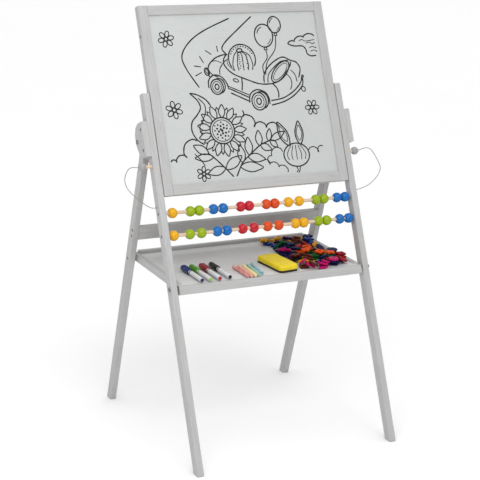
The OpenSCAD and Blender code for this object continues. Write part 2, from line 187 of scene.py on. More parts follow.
def lathe(name, profile, segments=40, wave=None):
    """Turned piece about its own Z. profile is (radius, height) in mm, from the bottom centre to the top one.
    wave(height, turn) scales the radius."""
    verts, faces, rings = [], [], []
    for r, h in profile:
        if r < 1e-6:
            rings.append([len(verts)])
            verts.append(Vector((0, 0, h * MM)))
            continue
        ring = []
        for k in range(segments):
            a = 2 * math.pi * k / segments
            grow = wave(h, a) if wave else 1
            ring.append(len(verts))
            verts.append(Vector((r * grow * math.cos(a), r * grow * math.sin(a), h)) * MM)
        rings.append(ring)
    for low, high in zip(rings, rings[1:]):
        for k in range(segments):
            n = (k + 1) % segments
            quad = [low[k % len(low)], low[n % len(low)], high[n % len(high)], high[k % len(high)]]
            corners = list(dict.fromkeys(quad))
            if len(corners) > 2:
                faces.append(corners)
    return mesh_object(name, verts, faces)


def rounded(points, radius):
    """A polyline of (r, h) with its corners rounded."""
    made = [points[0]]
    for a, b, c in zip(points, points[1:], points[2:]):
        a, b, c = Vector(a), Vector(b), Vector(c)
        back, on = (a - b), (c - b)
        cut = min(radius, back.length / 2.01, on.length / 2.01)
        p, q = b + back.normalized() * cut, b + on.normalized() * cut
        for k in range(CORNER_STEPS + 1):
            t = k / CORNER_STEPS
            made.append(tuple((1 - t) ** 2 * p + 2 * t * (1 - t) * b + t * t * q))
    made.append(points[-1])
    return made


def join(objects, name):
    with bpy.context.temp_override(active_object=objects[0], object=objects[0],
                                   selected_objects=objects, selected_editable_objects=objects):
        bpy.ops.object.join()
    objects[0].name = name
    objects[0].data.name = name
    return objects[0]


# ---------------------------------------------------------------- material helpers

class Shader:
    """A new material with a Principled shader and short calls for its nodes."""

    def __init__(self, name):
        self.material = bpy.data.materials.new(name)
        self.material.use_nodes = True
        self.tree = self.material.node_tree
        self.bsdf = self.tree.nodes["Principled BSDF"]

    def node(self, kind, inputs=None, **settings):
        made = self.tree.nodes.new(kind)
        for key, value in settings.items():
            setattr(made, key, value)
        for key, value in (inputs or {}).items():
            self.put(made.inputs[key], value)
        return made

    def put(self, socket, value):
        if isinstance(value, bpy.types.NodeSocket):
            self.tree.links.new(value, socket)
        else:
            socket.default_value = value

    def base(self, **values):
        for key, value in values.items():
            self.put(self.bsdf.inputs[key.replace("_", " ")], value)

    def noise(self, detail, size, shift=(0, 0, 0), along=None, rough=0.55, distortion=0.0):
        """Noise with features of a size in metres: one number, or three of which the last is along."""
        if isinstance(size, float):
            size = (size,) * 3
        where = self.node("ShaderNodeTexCoord").outputs["Object"]
        turn = along.to_track_quat("Z", "X").to_euler() if along else Euler((0, 0, 0))
        place = self.node("ShaderNodeMapping", {"Vector": where, "Location": shift, "Rotation": turn,
                                                "Scale": size}, vector_type="TEXTURE").outputs["Vector"]
        made = self.node("ShaderNodeTexNoise", {"Vector": place, "Scale": 1, "Detail": detail,
                                                "Roughness": rough, "Distortion": distortion})
        return made.outputs["Fac"]

    def math(self, operation, a, b=0.0):
        made = self.node("ShaderNodeMath", operation=operation)
        self.put(made.inputs[0], a)
        self.put(made.inputs[1], b)
        return made.outputs[0]

    def span(self, value, low, high, out_low=0.0, out_high=1.0):
        """value from low..high to out_low..out_high, clamped."""
        made = self.node("ShaderNodeMapRange", {"Value": value, "From Min": low, "From Max": high,
                                                "To Min": out_low, "To Max": out_high})
        return made.outputs["Result"]

    def mix(self, amount, a, b, blend="MIX"):
        made = self.node("ShaderNodeMix", data_type="RGBA", blend_type=blend)
        self.put(made.inputs["Factor"], amount)
        self.put(made.inputs["A"], a)
        self.put(made.inputs["B"], b)
        return made.outputs["Result"]

    def edges(self, radius, low=0.02, high=0.25):
        """1 at convex and concave edges, 0 on flat faces."""
        soft = self.node("ShaderNodeBevel", {"Radius": radius}, samples=4).outputs["Normal"]
        hard = self.node("ShaderNodeNewGeometry").outputs["Normal"]
        dot = self.node("ShaderNodeVectorMath", {0: soft, 1: hard}, operation="DOT_PRODUCT").outputs["Value"]
        return self.span(self.math("SUBTRACT", 1.0, dot), low, high)

    def bump(self, height, distance, strength=1.0, after=None):
        made = self.node("ShaderNodeBump", {"Height": height, "Distance": distance, "Strength": strength})
        if after is not None:
            self.put(made.inputs["Normal"], after)
        return made.outputs["Normal"]


def rgb(r, g, b):
    """A colour given as it looks on screen, 0 to 255."""
    def linear(c):
        c /= 255
        return c / 12.92 if c <= 0.04045 else ((c + 0.055) / 1.055) ** 2.4
    return (linear(r), linear(g), linear(b), 1)


def times(colour, k):
    return tuple(c * k for c in colour[:3]) + (1,)


def set_material(obj, shader):
    obj.data.materials.clear()
    obj.data.materials.append(shader.material)


PAINT = rgb(180, 180, 180)
BARE_WOOD = rgb(214, 190, 158)


def painted_wood(name, along, seed, tone=1.0):
    """Thin satin paint with the grain, pores and a few worn edges showing."""
    m = Shader(name)
    shift = (0.37 * seed, 0.61 * seed, 0.23 * seed)
    fibre = m.noise(5, (0.0011, 0.0011, 0.045), shift, along, 0.6)
    broad = m.noise(3, (0.014, 0.014, 0.34), shift, along, 0.5, 0.6)
    rings = m.math("SINE", m.math("MULTIPLY", broad, 58.0))
    blotch = m.noise(3, 0.11, shift)
    pores = m.noise(2, (0.0006, 0.0006, 0.009), shift, along)
    grain = m.math("ADD", m.span(fibre, 0.3, 0.7, -0.5, 0.5), m.math("MULTIPLY", rings, 0.28))
    colour = m.mix(m.span(grain, -0.7, 0.7), times(PAINT, 0.88 * tone), times(PAINT, 1.08 * tone))
    thin_coat = m.mix(1.0, colour, rgb(247, 245, 243), "MULTIPLY")
    colour = m.mix(m.span(blotch, 0.35, 0.7, 0.0, 0.5), colour, thin_coat)
    colour = m.mix(m.span(pores, 0.66, 0.76, 0.0, 0.35), colour, times(PAINT, 0.62))
    handled = m.span(m.noise(5, 0.012, shift), 0.5, 0.66)
    rub = m.math("MULTIPLY", m.edges(0.0012), handled)
    colour = m.mix(m.math("MULTIPLY", rub, 0.55), colour, times(BARE_WOOD, 0.92))
    rough = m.math("ADD", m.span(fibre, 0.3, 0.7, 0.44, 0.56), m.math("MULTIPLY", rub, 0.15))
    relief = m.math("ADD", m.math("MULTIPLY", fibre, 0.6), m.math("MULTIPLY", rings, 0.06))
    normal = m.bump(relief, 0.0003, 0.65)
    normal = m.bump(m.span(pores, 0.6, 0.78), -0.0001, 0.4, normal)
    m.base(Base_Color=colour, Roughness=rough, Normal=normal, Specular_IOR_Level=0.4)
    return m


def natural_wood():
    """Fine-sanded pale birch, its grain along X."""
    m = Shader("rod_wood")
    fibre = m.noise(5, (0.0007, 0.0007, 0.02), along=ALONG_X, rough=0.65)
    broad = m.noise(3, (0.006, 0.006, 0.16), along=ALONG_X, rough=0.5, distortion=0.8)
    rings = m.math("SINE", m.math("MULTIPLY", broad, 46.0))
    flecks = m.noise(2, (0.0005, 0.0005, 0.004), along=ALONG_X)
    colour = m.mix(m.span(fibre, 0.28, 0.72), rgb(200, 174, 150), rgb(226, 207, 186))
    colour = m.mix(m.span(rings, -1, 1, 0.0, 0.35), colour, rgb(205, 168, 130))
    colour = m.mix(m.span(flecks, 0.64, 0.74, 0.0, 0.5), colour, rgb(170, 126, 88))
    normal = m.bump(fibre, 0.0002, 0.5)
    m.base(Base_Color=colour, Roughness=m.span(fibre, 0.3, 0.7, 0.5, 0.64), Normal=normal)
    return m


def lacquer(name, colour, seed=0.0):
    """Gloss lacquer over turned wood: a faint grain under a clear coat, darker in soft clouds."""
    m = Shader(name)
    shift = (0.19 * seed, 0.43 * seed, 0.11 * seed)
    fibre = m.noise(4, (0.0009, 0.0009, 0.014), shift, ALONG_X, 0.6)
    cloud = m.noise(3, 0.009, shift)
    tint = m.mix(m.span(fibre, 0.3, 0.7), times(colour, 0.86), times(colour, 1.08))
    tint = m.mix(m.span(cloud, 0.35, 0.7, 0.0, 0.45), tint, times(colour, 0.8))
    chip = m.math("MULTIPLY", m.edges(0.0008, 0.05, 0.3), m.span(cloud, 0.5, 0.6))
    tint = m.mix(m.math("MULTIPLY", chip, 0.5), tint, BARE_WOOD)
    m.base(Base_Color=tint, Roughness=m.span(cloud, 0.3, 0.7, 0.17, 0.27),
           Normal=m.bump(fibre, 0.00012, 0.35), Specular_IOR_Level=0.3, Coat_Weight=0.15,
           Coat_Roughness=0.08)
    return m


def plastic(name, colour, rough=0.25, seed=0.0, grain=0.004, shine=0.32):
    """Moulded plastic with a fine orange-peel and slight uneven gloss."""
    m = Shader(name)
    shift = (0.7 * seed, 0.2 * seed, 0.4 * seed)
    cloud = m.noise(3, grain, shift)
    peel = m.noise(2, 0.0006, shift)
    rubbed = m.edges(0.0006, 0.04, 0.4)
    tint = m.mix(m.span(cloud, 0.3, 0.7), times(colour, 0.93), times(colour, 1.05))
    tint = m.mix(m.math("MULTIPLY", rubbed, 0.07), tint, rgb(250, 250, 250))
    m.base(Base_Color=tint, Roughness=m.span(cloud, 0.3, 0.7, rough - 0.04, rough + 0.08),
           Normal=m.bump(peel, 0.00004, 0.3), Specular_IOR_Level=shine)
    return m


# ---------------------------------------------------------------- tethers

LEFT, RIGHT = -1, 1
LEG_OUT = 257.5                  # outer face of a front leg, mm
LOCK_S = 704.6                   # the lock pins' axis along the legs, mm
CORD_R = 1.0                     # mm
STRANDS = 3
TWIST = 7                        # one turn of the strands, mm
CORD_SIDES = 18
# The routes: distance out of the leg, behind the pin's axis and below it, in mm
LEFT_ROUTE = [
    (29, 0, 0), (33, 0, 0), (38.5, 3, -1), (43, 13, -3), (46, 27, -2), (47, 43, 4), (47, 57, 15),
    (44, 63, 30), (38, 60, 44), (30, 56, 56), (18, 48, 72), (11, 35, 84), (8, 20, 91),
    (5, 8, 94), (1, 4, 94), (-3, 4, 94)]
RIGHT_ROUTE = [
    (22, 0, 0), (26, 0, 0), (33, -1, -2), (42, -4, -4), (52, -6, -3), (62, -5, 4), (72, -2, 20),
    (80, 0, 38), (81, 1, 48), (75, 3, 61), (60, 4, 75), (41, 4, 86), (22, 4, 92),
    (10, 4, 94), (2, 4, 94), (-3, 4, 94)]


def cord_material():
    m = Shader("white_cord_painted_shade")
    fuzz = m.noise(3, 0.0003)
    soil = m.noise(3, 0.02)
    # The white cord is coloured grey all over: painted shade, as it looks in the easel's shadow; the soil
    # spots are dirt
    tint = m.mix(m.span(fuzz, 0.3, 0.7), rgb(128, 128, 130), rgb(158, 158, 160))
    tint = m.mix(m.span(soil, 0.5, 0.75, 0.0, 0.3), tint, rgb(112, 110, 106))
    m.base(Base_Color=tint, Roughness=0.85, Normal=m.bump(fuzz, 0.0001, 0.6))
    return m


def tether(side, route):
    """A three-strand twisted cord from the knob's pole to the leg. Its ends follow the pin and the leg."""
    name = "left" if side == LEFT else "right"
    path = [front(side * (LEG_OUT + out), BOARD_MID_D + back, LOCK_S - down) for out, back, down in route]
    path = catmull(path, 14)
    run = [0.0]
    for a, b in zip(path, path[1:]):
        run.append(run[-1] + (b - a).length)

    def strands(i, count):
        turn = run[i] / (TWIST * MM) * 2 * math.pi
        ring = []
        for k in range(CORD_SIDES):
            a = 2 * math.pi * k / CORD_SIDES
            r = CORD_R * (0.9 + 0.1 * math.cos(STRANDS * (a - turn))) * MM
            ring.append((r * math.cos(a), r * math.sin(a)))
        return ring

    piece = mesh_object(f"tether_cord_{name}", *swept(path, strands, start_up=UP_LEG))
    set_material(piece, CORD)
    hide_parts(f"tether_{name}")
    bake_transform(piece)


CORD = cord_material()
tether(LEFT, LEFT_ROUTE)
tether(RIGHT, RIGHT_ROUTE)


# ---------------------------------------------------------------- painted wood, rods, metal and panels

# The way the grain runs in each painted piece
GRAIN = {
    "front_leg_left": UP_LEG, "front_leg_right": UP_LEG,
    "hinge_plate_left": UP_LEG, "hinge_plate_right": UP_LEG,
    "rear_leg_left": DOWN_REAR, "rear_leg_right": DOWN_REAR, "rear_crossbar": ALONG_X,
    "board_stile_left": UP_LEG, "board_stile_right": UP_LEG,
    "board_rail_top": ALONG_X, "board_rail_bottom": ALONG_X,
    "tray_front_rail": ALONG_X, "tray_rear_rail": ALONG_X, "tray_side_left": ALONG_TRAY,
    "tray_side_right": ALONG_TRAY, "tray_floor": ALONG_X}
for seed, (name, along) in enumerate(GRAIN.items()):
    # The tray floor gets a brighter copy of the paint: painted light, making up for the board's shadow on it
    tone = 1.3 if name == "tray_floor" else 1.0
    set_material(nodes[name], painted_wood("paint_" + name, along, seed + 1, tone))

rod_wood = natural_wood()
for name in ("abacus_rod_upper", "abacus_rod_lower", "board_pivots", "lock_pin_left", "lock_pin_right"):
    set_material(nodes[name], rod_wood)


def zinc():
    m = Shader("dull_zinc")
    cloud = m.noise(4, 0.003)
    scratch = m.noise(3, (0.0004, 0.0004, 0.006), along=Vector((0.2, 0.5, 0.8)))
    tint = m.mix(m.span(cloud, 0.35, 0.65), rgb(98, 98, 100), rgb(142, 142, 144))
    m.base(Base_Color=tint, Metallic=0.9, Roughness=m.span(cloud, 0.3, 0.7, 0.35, 0.55),
           Normal=m.bump(scratch, 0.00005, 0.4))
    return m


steel = zinc()
for name in ("frame_screws", "pivot_bolts", "rear_leg_screws"):
    set_material(nodes[name], steel)


def knob_paint():
    m = painted_wood("knob_paint", ALONG_X, 31, 0.72)
    m.base(Specular_IOR_Level=0.5)
    return m


knob = knob_paint()
for name in ("lock_knob_left", "lock_knob_right"):
    set_material(nodes[name], knob)


def whiteboard():
    """Gloss writing film with faint wiped smears."""
    m = Shader("whiteboard_film")
    smear = m.noise(4, (0.05, 0.25, 0.02), (0.3, 0.1, 0.2), Vector((0.5, 0.2, 0.8)))
    dust = m.noise(2, 0.0025)
    tint = m.mix(m.span(smear, 0.4, 0.75, 0.0, 1.0), rgb(190, 193, 191), rgb(186, 189, 188))
    tint = m.mix(m.span(dust, 0.68, 0.8, 0.0, 0.4), tint, rgb(168, 170, 170))
    m.base(Base_Color=tint, Roughness=m.span(smear, 0.35, 0.7, 0.16, 0.3),
           Normal=m.bump(m.noise(2, 0.04), 0.0004, 0.08))
    return m


def chalkboard():
    """Matt slate paint with the haze of wiped chalk."""
    m = Shader("chalkboard_slate")
    haze = m.noise(5, (0.16, 0.05, 0.04), along=Vector((0.7, 0.3, 0.6)), rough=0.65)
    wipe = m.noise(4, (0.003, 0.003, 0.09), along=Vector((0.8, 0.2, 0.5)))
    speck = m.noise(2, 0.0008)
    tint = m.mix(m.span(haze, 0.42, 0.8, 0.0, 0.35), rgb(42, 46, 48), rgb(130, 134, 134))
    tint = m.mix(m.span(wipe, 0.55, 0.75, 0.0, 0.1), tint, rgb(170, 172, 170))
    m.base(Base_Color=tint, Roughness=m.span(haze, 0.3, 0.7, 0.78, 0.92), Normal=m.bump(speck, 0.00012, 0.5))
    return m


set_material(nodes["whiteboard_panel"], whiteboard())
set_material(nodes["chalkboard_panel"], chalkboard())

BEAD_COLOURS = {"yellow": rgb(228, 168, 0), "green": rgb(146, 172, 0), "blue": rgb(6, 102, 178),
                "red": rgb(190, 22, 40), "orange": rgb(212, 72, 6)}
BEAD_ORDER = ["yellow", "green", "blue", "red", "orange", "yellow", "green", "blue"]
bead_paint = {k: lacquer("lacquer_" + k, c, i + 1) for i, (k, c) in enumerate(BEAD_COLOURS.items())}
for row in ("upper", "lower"):
    for i in range(1, 16):
        set_material(nodes[f"bead_{row}_{i:02d}"], bead_paint[BEAD_ORDER[i // 2]])


# ---------------------------------------------------------------- the drawing on the whiteboard

BOLD = 3.3                       # widths of the pen's lines, mm
MEDIUM = 2.5
FINE = 1.9
INK_GAP = 0.03                   # between the film and a line's underside, mm
INK_T = 0.12                     # thickness of a line, mm
INK_STEP = 0.0006                # each line is this much thicker than the last, so that no two tops meet, mm
WOBBLE = 0.07                    # how much a line swells and thins, as a share of its width
THIN_END = 0.6                   # width of a line's open end, as a share of its width
PETALS = 13                      # of the sunflower
GOLDEN_ANGLE = 2.39996           # from seed to seed in it, radians

strokes = []                     # (points in mm across and up from the board's pivot, width in mm, closed)


def ink(points, width=MEDIUM, closed=False):
    strokes.append(([Vector(p) for p in points], width, closed))


def line(points, width=MEDIUM, closed=False):
    """A smooth line through the points."""
    ink(catmull(points, 8, closed), width, closed)


def oval(cx, cy, rx, ry, turn=0.0, start=0.0, end=360.0):
    """Points of an ellipse or a part of one; angles in degrees."""
    full = end - start >= 360
    n = max(10, int(abs(end - start) / 360 * (14 + 0.8 * max(rx, ry))))
    t = math.radians(turn)
    made = []
    for k in range(n if full else n + 1):
        a = math.radians(start + (end - start) * k / n)
        x, y = rx * math.cos(a), ry * math.sin(a)
        made.append((cx + x * math.cos(t) - y * math.sin(t), cy + x * math.sin(t) + y * math.cos(t)))
    return made


def ring(cx, cy, rx, ry=None, turn=0.0, width=MEDIUM):
    ink(oval(cx, cy, rx, ry or rx, turn), width, True)


def arc(cx, cy, rx, ry, start, end, width=MEDIUM):
    ink(oval(cx, cy, rx, ry, 0.0, start, end), width)


def dot(x, y, r):
    """A filled spot."""
    ink(oval(x, y, r / 2, r / 2), r, True)


def leaf(x, y, length, breadth, turn, width=MEDIUM, inner=0.0):
    """A pointed leaf from its stalk end, turned from the +X direction, with an inner outline if asked for."""
    t = math.radians(turn)
    rim = [(0.0, 0.0), (0.25, 0.42), (0.55, 0.5), (0.85, 0.24), (1.0, 0.0), (0.82, -0.27), (0.52, -0.5),
           (0.22, -0.38)]
    for k in (1.0, inner):
        if k > 0:
            points = []
            for share, bulge in rim:
                along, across = length * (0.5 + k * (share - 0.5)), k * breadth * bulge
                points.append((x + along * math.cos(t) - across * math.sin(t),
                               y + along * math.sin(t) + across * math.cos(t)))
            line(points, width if k == 1.0 else FINE, True)


def flower(cx, cy, r, turn):
    for k in range(6):
        a = turn + 60 * k
        c, s = math.cos(math.radians(a)), math.sin(math.radians(a))
        ring(cx + 0.66 * r * c, cy + 0.66 * r * s, 0.38 * r, 0.26 * r, a)
    ring(cx, cy, 0.22 * r)


def scallops(corners, height=0.42, width=MEDIUM):
    """A bushy line of arcs from corner to corner, bulging to the left of the way they run."""
    for (x0, y0), (x1, y1) in zip(corners, corners[1:]):
        a, b = Vector((x0, y0)), Vector((x1, y1))
        along = b - a
        out = Vector((-along.y, along.x)) * height
        line([a, a + 0.1 * along + 0.6 * out, a + 0.5 * along + out, a + 0.9 * along + 0.62 * out, b], width)


def sprig(points, leaves):
    """A stem with leaves: each is (share of the way, length, breadth, angle from the stem)."""
    stem = catmull(points, 12)
    ink(stem, BOLD)
    for share, length, breadth, angle in leaves:
        i = min(int(share * (len(stem) - 1)), len(stem) - 2)
        way = stem[i + 1] - stem[i]
        leaf(stem[i].x, stem[i].y, length, breadth, math.degrees(math.atan2(way.y, way.x)) + angle, 2.8)


def wheel(cx, cy, r):
    """A fat wheel seen from its left: tyre, its far edge, rim and hub."""
    ring(cx, cy, 0.88 * r, r, width=BOLD)
    arc(cx + 0.3 * r, cy + 0.1 * r, 0.88 * r, r, -70, 118, BOLD)
    ring(cx, cy, 0.62 * r, 0.72 * r, width=FINE)
    ring(cx, cy, 0.28 * r, 0.36 * r, width=BOLD)


def car():
    """An open toy car with its soft top folded back, driving to the left."""
    wheel(-69, 24, 18)
    wheel(34, -16, 21)
    line([(-90, 22), (-88, 40), (-74, 52), (-56, 48), (-44, 34), (-39, 16)], BOLD)
    line([(9, -18), (14, 2), (32, 12), (52, 6), (61, -8), (62, -24)], BOLD)
    line([(-40, 24), (-14, 12), (12, 0)])
    line([(-38, 18), (-13, 6), (11, -6)], BOLD)
    line([(-36, 8), (-12, -4), (12, -16)], BOLD)
    line([(-82, 46), (-86, 56), (-82, 76), (-64, 92), (-44, 99), (-30, 100)], BOLD)
    line([(-76, 84), (-62, 86), (-48, 80)], FINE)
    line([(-82, 60), (-74, 52), (-62, 47)])
    line([(-57, 52), (-55, 66), (-46, 78), (-34, 88)])
    ring(-89, 61, 6, 9, 12, BOLD)
    ring(-89, 62, 2.6, 5, 12, FINE)
    line([(-34, 99), (-42, 88), (-41, 73), (-24, 54), (10, 38), (43, 26), (76, 25), (99, 33), (116, 49),
          (130, 66), (133, 76)], BOLD)
    line([(-26, 96), (-33, 86), (-32, 75), (-18, 60)], FINE)
    line([(-2, 43), (-3, 28), (-6, 12)], BOLD)
    ring(-18, 37, 7, 3.6, -22)
    line([(55, 28), (58, 48), (72, 66), (92, 80), (114, 88), (134, 79), (148, 74), (156, 58), (149, 36)],
         BOLD)
    line([(65, 27), (69, 46), (84, 62), (106, 77), (128, 80)])
    ink(oval(102, 53, 33, 15, 44), BOLD, True)
    ink(oval(102, 53, 27, 10, 44), FINE, True)
    line([(118, 46), (126, 36), (128, 22), (122, 8)])
    line([(130, 56), (140, 44), (143, 26)])
    line([(76, 25), (86, 14), (89, 0), (87, -10)], BOLD)
    line([(158, 42), (152, 24), (130, 4), (100, -11), (66, -16)], BOLD)
    line([(159, 34), (155, 16), (130, -6), (100, -20), (66, -27)], BOLD)
    line([(158, 42), (162, 40), (159, 34)], BOLD)
    ring(157, 8, 5, 6, 20)
    for x0, y0, x1, y1 in ((-55, 122, -54, 107), (-86, 112, -71, 101), (-103, 99, -94, 82),
                           (-120, 76, -102, 73), (-120, 52, -102, 60)):
        line([(x0, y0), (x1, y1)])


def beach_ball(cx, cy, r):
    """The part of a striped ball that shows above the car's side."""
    arc(cx, cy, r, r, -34, 214, BOLD)
    ring(cx - 4, cy + 0.58 * r, 0.2 * r, 0.13 * r, 8, BOLD)
    for lean in (-1.0, -0.52, 0.04, 0.56, 1.0):
        line([(cx - 4 + 0.17 * r * lean, cy + 0.54 * r), (cx + 0.56 * r * lean, cy + 0.24 * r),
              (cx + 0.74 * r * lean, cy - 0.4 * r), (cx + 0.66 * r * lean, cy - 0.8 * r)])
    for k in range(7):
        for j, x in enumerate((-0.2, 0.36)):
            dot(cx + r * (x + 0.05 * math.sin(3 * k)), cy + r * (0.26 - 0.15 * k), 1.6)
    for k in range(11):
        a = math.radians(24 + 13 * k)
        dot(cx + 0.86 * r * math.cos(a), cy + 0.86 * r * math.sin(a), 1.8)


def balloon(cx, cy, rx, ry, foot):
    """A balloon on a string that runs down to foot."""
    ring(cx, cy, rx, ry, width=BOLD)
    arc(cx, cy, 0.72 * rx, 0.76 * ry, 100, 165)
    arc(cx, cy, 0.76 * rx, 0.8 * ry, -70, -20, FINE)
    line([(cx - 4, cy - ry - 6), (cx, cy - ry), (cx + 4, cy - ry - 6)], MEDIUM, True)
    line([(cx, cy - ry - 6), (0.7 * cx + 0.3 * foot[0] + 5, 0.6 * cy - 0.6 * ry + 0.4 * foot[1]),
          (0.3 * cx + 0.7 * foot[0] - 4, 0.3 * cy - 0.3 * ry + 0.7 * foot[1]), foot])


def cloud():
    scallops([(207, 136), (178, 134), (152, 124), (134, 119)][::-1], 0.28, BOLD)
    line([(134, 119), (150, 114), (172, 113), (180, 104), (182, 94), (192, 88), (206, 89)], BOLD)
    for y, x in ((126, 164), (119, 182), (108, 190), (99, 192)):
        line([(x, y), (x + 9, y + 3), (x + 18, y - 1), (207, y + 2)], FINE)


def sunflower(cx, cy, r):
    for k in range(PETALS):
        a = 360 * k / PETALS
        turn = math.radians(a)
        leaf(cx + 0.5 * r * math.cos(turn), cy + 0.5 * r * math.sin(turn), 0.5 * r, 0.25 * r, a, 2.8)
        turn = math.radians(a + 180 / PETALS)
        tip = (cx + 0.92 * r * math.cos(turn), cy + 0.92 * r * math.sin(turn))
        for side in (-0.1, 0.1):
            foot = (cx + 0.76 * r * math.cos(turn + side), cy + 0.76 * r * math.sin(turn + side))
            line([foot, tip])
    ring(cx, cy, 0.5 * r, width=BOLD)
    ring(cx, cy, 0.41 * r, width=FINE)
    for k in range(24):
        a, q = GOLDEN_ANGLE * k, 0.073 * r * math.sqrt(k)
        dot(cx + q * math.cos(a), cy + q * math.sin(a), 3.0 - 0.05 * k)


def big_leaf():
    """The long curled leaf on the sunflower's left."""
    line([(-141, 12), (-124, 8), (-104, -4), (-92, -20)], BOLD)
    line([(-141, 12), (-124, -6), (-119, -24), (-130, -40), (-145, -56), (-148, -78), (-138, -98),
          (-122, -110)], BOLD)
    line([(-122, 0), (-108, -16), (-108, -34), (-118, -54), (-128, -70), (-124, -88)])


def radish(cx, cy, rx, ry):
    ring(cx, cy, rx, ry, width=BOLD)
    leaf(cx - 16, cy + 0.84 * ry, 62, 23, 112, BOLD, 0.66)
    leaf(cx + 14, cy + 0.88 * ry, 56, 21, 88, BOLD, 0.66)
    line([(cx - 5, cy - ry), (cx - 2, cy - ry - 8), (cx - 6, cy - ry - 14)])
    line([(cx + 5, cy - ry), (cx + 3, cy - ry - 8), (cx - 1, cy - ry - 15)])
    for side in (-0.72, -0.38, 0.0, 0.38, 0.72):
        line([(cx + 0.5 * rx * side, cy + 0.84 * ry), (cx + rx * side, cy + 0.1 * ry),
              (cx + 0.86 * rx * side, cy - 0.42 * ry)], FINE)


line([(-12, 187), (-80, 160), (-122, 134), (-146, 102), (-140, 70), (-114, 24)], BOLD)
line([(46, 190), (8, 161), (-30, 131), (-42, 114), (-33, 101)], BOLD)
flower(-180, 142, 19, 12)
flower(-185, -25, 20, 40)
flower(173, -38, 18, 0)
flower(-134, -178, 17, 25)
line([(-128, -160), (-136, -146), (-150, -130)])
car()
beach_ball(6, 88, 35)
balloon(72, 142, 24, 28, (58, 50))
balloon(104, 168, 17, 20, (62, 46))
cloud()
sunflower(-72, -80, 62)
big_leaf()
sprig([(-60, -190), (-82, -164), (-103, -142), (-117, -130)],
      [(0.25, 52, 22, -98), (0.3, 46, 20, 62), (0.72, 46, 17, 42), (0.97, 40, 19, 8)])
sprig([(-52, -190), (-33, -160), (-11, -142), (21, -120), (51, -110)],
      [(0.2, 58, 23, -62), (0.28, 40, 19, 46), (0.46, 44, 20, -48), (0.5, 42, 19, 52), (0.76, 30, 16, -52),
       (0.74, 36, 17, 60), (0.96, 24, 13, -60), (0.92, 30, 13, 62), (0.98, 42, 16, 8)])
radish(112, -150, 34, 28)
scallops([(-211, -145), (-197, -147), (-170, -138), (-139, -100)], 0.42, BOLD)
scallops([(-16, -50), (11, -77), (43, -80), (76, -84)], 0.42, BOLD)
scallops([(-14, -36), (-16, -50)], 0.3, BOLD)
scallops([(146, -141), (172, -148), (186, -134)], 0.4)
scallops([(40, -166), (46, -148), (76, -140)], 0.5)
scallops([(22, -158), (37, -169), (60, -176), (82, -190)], 0.4)


def drawing():
    """All strokes as thin raised ribbons of ink, each a closed solid."""
    verts, faces = [], []
    face_d = PANEL_D - INK_GAP
    for index, (points, width, closed) in enumerate(strokes):
        step = min(0.6, 0.2 * width)
        spaced = [points[0]]
        for p in points[1:]:
            if (p - spaced[-1]).length > step:
                spaced.append(p)
        if closed and (spaced[-1] - spaced[0]).length < step:
            spaced.pop()
        n, first = len(spaced), len(verts)
        top = face_d - INK_T - INK_STEP * index
        for i, p in enumerate(spaced):
            t = way_at(spaced, i, closed)
            side = Vector((-t.y, t.x))
            thin = 1.0 if closed or 0 < i < n - 1 else THIN_END
            half = 0.5 * width * thin * (1 + WOBBLE * math.sin(0.9 * i + index))
            for across, d in ((-half, face_d), (-half * 0.9, top), (half * 0.9, top), (half, face_d)):
                verts.append(front(p.x + across * side.x, d, BOARD_S + p.y + across * side.y))
        faces += ring_faces(n, 4, closed, first, flip=True)
    piece = mesh_object("whiteboard_drawing", verts, faces, smooth=False)
    m = Shader("marker_ink")
    flow = m.noise(4, 0.004)
    m.base(Base_Color=m.mix(m.span(flow, 0.3, 0.7), rgb(14, 14, 16), rgb(38, 38, 41)),
           Roughness=m.span(flow, 0.3, 0.7, 0.4, 0.6), Normal=m.bump(flow, 0.0001, 0.2),
           Specular_IOR_Level=0.3)
    set_material(piece, m)
    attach(piece, "board")


drawing()


# ---------------------------------------------------------------- loose things on the tray

TILT = Matrix.Rotation(TRAY_RISE, 4, "X")


def lay(obj, near, far, w, spin):
    """Lays a turned piece on the tray from near towards far (x, y), its axis at height w, in mm."""
    way = Vector((far[0] - near[0], far[1] - near[1], 0)).normalized()
    turn = TILT.to_3x3() @ way.to_track_quat("Z", "Y").to_matrix() @ Matrix.Rotation(spin, 3, "Z")
    obj.matrix_world = Matrix.Translation(tray(*near, w)) @ turn.to_4x4()


def finish_loose(obj):
    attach(obj, "tray")


def ribs(count, depth, low, high):
    def wave(height, turn):
        return 1 - depth * (0.5 + 0.5 * math.cos(count * turn)) if low < height < high else 1
    return wave


BARREL_R = 5.3                   # mm
CAP_R = 7.2                      # mm
CHALK_R = 4.6                    # mm
ERASER_PLACE = (43.5, 58.5)      # across and along the tray, mm
ERASER_TURN = math.radians(5.5)


